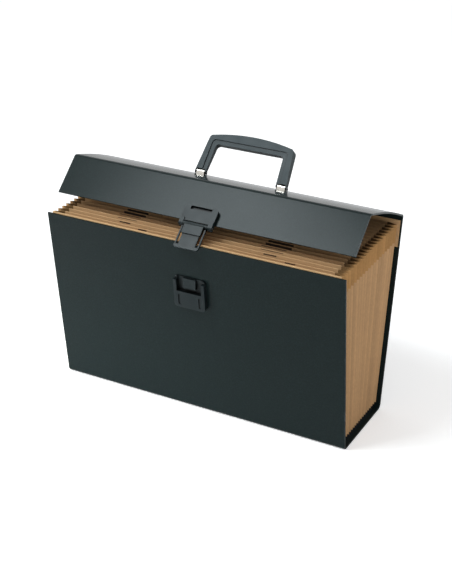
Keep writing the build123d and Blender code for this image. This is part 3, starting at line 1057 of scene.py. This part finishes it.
def aim(obj, place, target):
    """Puts a lamp at a place and points it at a target, both in millimetres."""
    obj.location = Vector(place) * MM
    obj.rotation_euler = (Vector(target) - Vector(place)).to_track_quat("-Z", "Y").to_euler()


def lamp(name, power, size, place, target, colour, spread):
    """A rectangular soft light, whose beam spreads over an angle in degrees."""
    data = bpy.data.lights.new(name, "AREA")
    data.shape = "RECTANGLE"
    data.size, data.size_y = (s * MM for s in size)
    data.energy = power
    data.color = colour
    data.spread = math.radians(spread)
    obj = bpy.data.objects.new(name, data)
    bpy.context.scene.collection.objects.link(obj)
    aim(obj, place, target)


def sun(power):
    """Even light over the whole floor, from the left and the front."""
    data = bpy.data.lights.new("sun", "SUN")
    data.energy = power
    data.angle = math.radians(SUN_ANGLE)
    obj = bpy.data.objects.new("sun", data)
    bpy.context.scene.collection.objects.link(obj)
    aim(obj, SUN_PLACE, (0, 0, 0))


def camera():
    """The camera at the photograph's viewing angle."""
    data = bpy.data.cameras.new("camera")
    data.sensor_width = CAMERA_SENSOR
    data.lens = CAMERA_LENS
    data.shift_x, data.shift_y = CAMERA_SHIFT
    data.clip_end = CAMERA_CLIP
    obj = bpy.data.objects.new("camera", data)
    bpy.context.scene.collection.objects.link(obj)
    a, e, r = (math.radians(v) for v in (CAMERA_AZIMUTH, CAMERA_ELEVATION, CAMERA_ROLL))
    back = Vector((math.sin(a) * math.cos(e), -math.cos(a) * math.cos(e), math.sin(e)))
    level = Vector((math.cos(a), math.sin(a), 0))
    upright = back.cross(level)
    right = level * math.cos(r) + upright * math.sin(r)
    up = upright * math.cos(r) - level * math.sin(r)
    turn = Matrix((right, up, back)).transposed()
    place = (Vector(CAMERA_TARGET) + back * CAMERA_DISTANCE) * MM
    obj.matrix_world = Matrix.Translation(place) @ turn.to_4x4()
    bpy.context.scene.camera = obj


def seen_rays(tree):
    """1 for the rays of the camera, of reflections and of clear pieces, 0 for the others."""
    rays = add_node(tree, "ShaderNodeLightPath")
    level = rays.outputs["Is Camera Ray"]
    for kind in ("Is Glossy Ray", "Is Transmission Ray"):
        either = {0: level, 1: rays.outputs[kind]}
        level = add_node(tree, "ShaderNodeMath", {"operation": "MAXIMUM"}, either).outputs[0]
    return level


def studio_world(level):
    """Even light of the given level, which cameras and reflections see as white."""
    world = bpy.data.worlds.new("studio")
    world.use_nodes = True
    tree = world.node_tree
    tree.nodes.clear()
    soft = add_node(
        tree, "ShaderNodeBackground", inputs={"Color": (1, 1, 1, 1), "Strength": level}
    )
    white = add_node(
        tree, "ShaderNodeBackground", inputs={"Color": (1, 1, 1, 1), "Strength": 1.0}
    )
    mix = add_node(
        tree,
        "ShaderNodeMixShader",
        inputs={0: seen_rays(tree), 1: soft.outputs[0], 2: white.outputs[0]},
    )
    add_node(tree, "ShaderNodeOutputWorld", inputs={"Surface": mix.outputs[0]})
    bpy.context.scene.world = world


FLOOR_HALF = 6000.0
FLOOR_DROP = 0.2  # keeps it clear of the case's underside
FLOOR_GRAIN = 2.0
FLOOR_LIFT = 0.42


def floor_material():
    """Matt white paper sweep that shows to the camera nearly as white as its backdrop."""
    material, tree, place = new_material("matt_white_paper_sweep")
    grain = add_node(
        tree,
        "ShaderNodeTexNoise",
        inputs={"Vector": place, "Scale": 1 / (FLOOR_GRAIN * MM), "Detail": 2.0},
    )
    tone = add_node(
        tree,
        "ShaderNodeMix",
        {"data_type": "RGBA"},
        {
            "Factor": grain.outputs["Fac"],
            "A": linear("#fcfcfc"),
            "B": linear("#ffffff"),
        },
    )
    paper = add_node(
        tree,
        "ShaderNodeBsdfPrincipled",
        inputs={
            "Base Color": tone.outputs["Result"],
            "Roughness": 0.9,
            "Specular IOR Level": 0.0,
        },
    )
    # What the ambient light leaves short of white is added for the eye only.
    rays = add_node(tree, "ShaderNodeLightPath")
    lift = add_node(
        tree,
        "ShaderNodeMath",
        {"operation": "MULTIPLY"},
        {0: rays.outputs["Is Camera Ray"], 1: FLOOR_LIFT},
    )
    glow = add_node(
        tree,
        "ShaderNodeEmission",
        inputs={"Color": (1, 1, 1, 1), "Strength": lift.outputs[0]},
    )
    shader = add_node(
        tree, "ShaderNodeAddShader", inputs={0: paper.outputs[0], 1: glow.outputs[0]}
    )
    finish_material(tree, shader)
    return material


def make_floor():
    """A level floor just under the case."""
    corners = ((-1, -1), (1, -1), (1, 1), (-1, 1))
    points = [(x * FLOOR_HALF, y * FLOOR_HALF, -FLOOR_DROP) for x, y in corners]
    return make_object("floor", points, [[0, 1, 2, 3]], floor_material())


class StageSettings(bpy.types.PropertyGroup):
    ambient: bpy.props.FloatProperty(
        name="Ambient light",
        description="Strength of the even light from all round",
        default=0.46,
    )
    sun: bpy.props.FloatProperty(
        name="Sun",
        description="Strength of the even light from the left, in watts per square metre",
        default=0.5,
    )
    key: bpy.props.FloatProperty(
        name="Key light",
        description="Power of the large soft light above, which the two small ones follow",
        default=12.0,
        unit="POWER",
    )


class FILECASE_OT_stage(bpy.types.Operator):
    """Sets the floor, the soft lights and the camera"""

    bl_idname = "file_case.stage"
    bl_label = "Stage"

    def execute(self, context):
        settings = context.scene.file_case_stage
        floor = make_floor()
        studio_world(settings.ambient)
        sun(settings.sun)
        for name, (share, *shape) in LAMPS.items():
            lamp(name, settings.key * share, *shape)
        camera()
        context.scene.view_settings.view_transform = "Standard"
        return {"FINISHED"}


class FILECASE_PT_panel(bpy.types.Panel):
    """Lists the pieces of the file case in the 3D view's sidebar"""

    bl_idname = "FILECASE_PT_panel"
    bl_label = "File case"
    bl_space_type = "VIEW_3D"
    bl_region_type = "UI"
    bl_category = "File case"

    def draw(self, context):
        for operator in OPERATORS:
            self.layout.operator(operator.bl_idname)
        for name, group in SETTINGS.items():
            box = self.layout.box()
            for prop in group.__annotations__:
                box.prop(getattr(context.scene, name), prop)


SETTINGS = {
    "file_case_cover": CoverSettings,
    "file_case_file": FileSettings,
    "file_case_fittings": FittingSettings,
    "file_case_stage": StageSettings,
}
OPERATORS = (
    FILECASE_OT_cover,
    FILECASE_OT_pleats,
    FILECASE_OT_dividers,
    FILECASE_OT_handle,
    FILECASE_OT_latch,
    FILECASE_OT_stage,
)


def register():
    """Registers the settings, the operators and the panel."""
    for cls in (*SETTINGS.values(), *OPERATORS, FILECASE_PT_panel):
        bpy.utils.register_class(cls)
    for name, group in SETTINGS.items():
        setattr(bpy.types.Scene, name, bpy.props.PointerProperty(type=group))


def unregister():
    """Takes the panel, the operators and the settings away again."""
    for name in SETTINGS:
        delattr(bpy.types.Scene, name)
    for cls in reversed((*SETTINGS.values(), *OPERATORS, FILECASE_PT_panel)):
        bpy.utils.unregister_class(cls)


def main():
    """Dresses the case, piece by piece."""
    register()
    bpy.ops.file_case.cover()
    bpy.ops.file_case.pleats()
    bpy.ops.file_case.dividers()
    bpy.ops.file_case.handle()
    bpy.ops.file_case.latch()
    bpy.ops.file_case.stage()


if __name__ == "__main__":
    main()
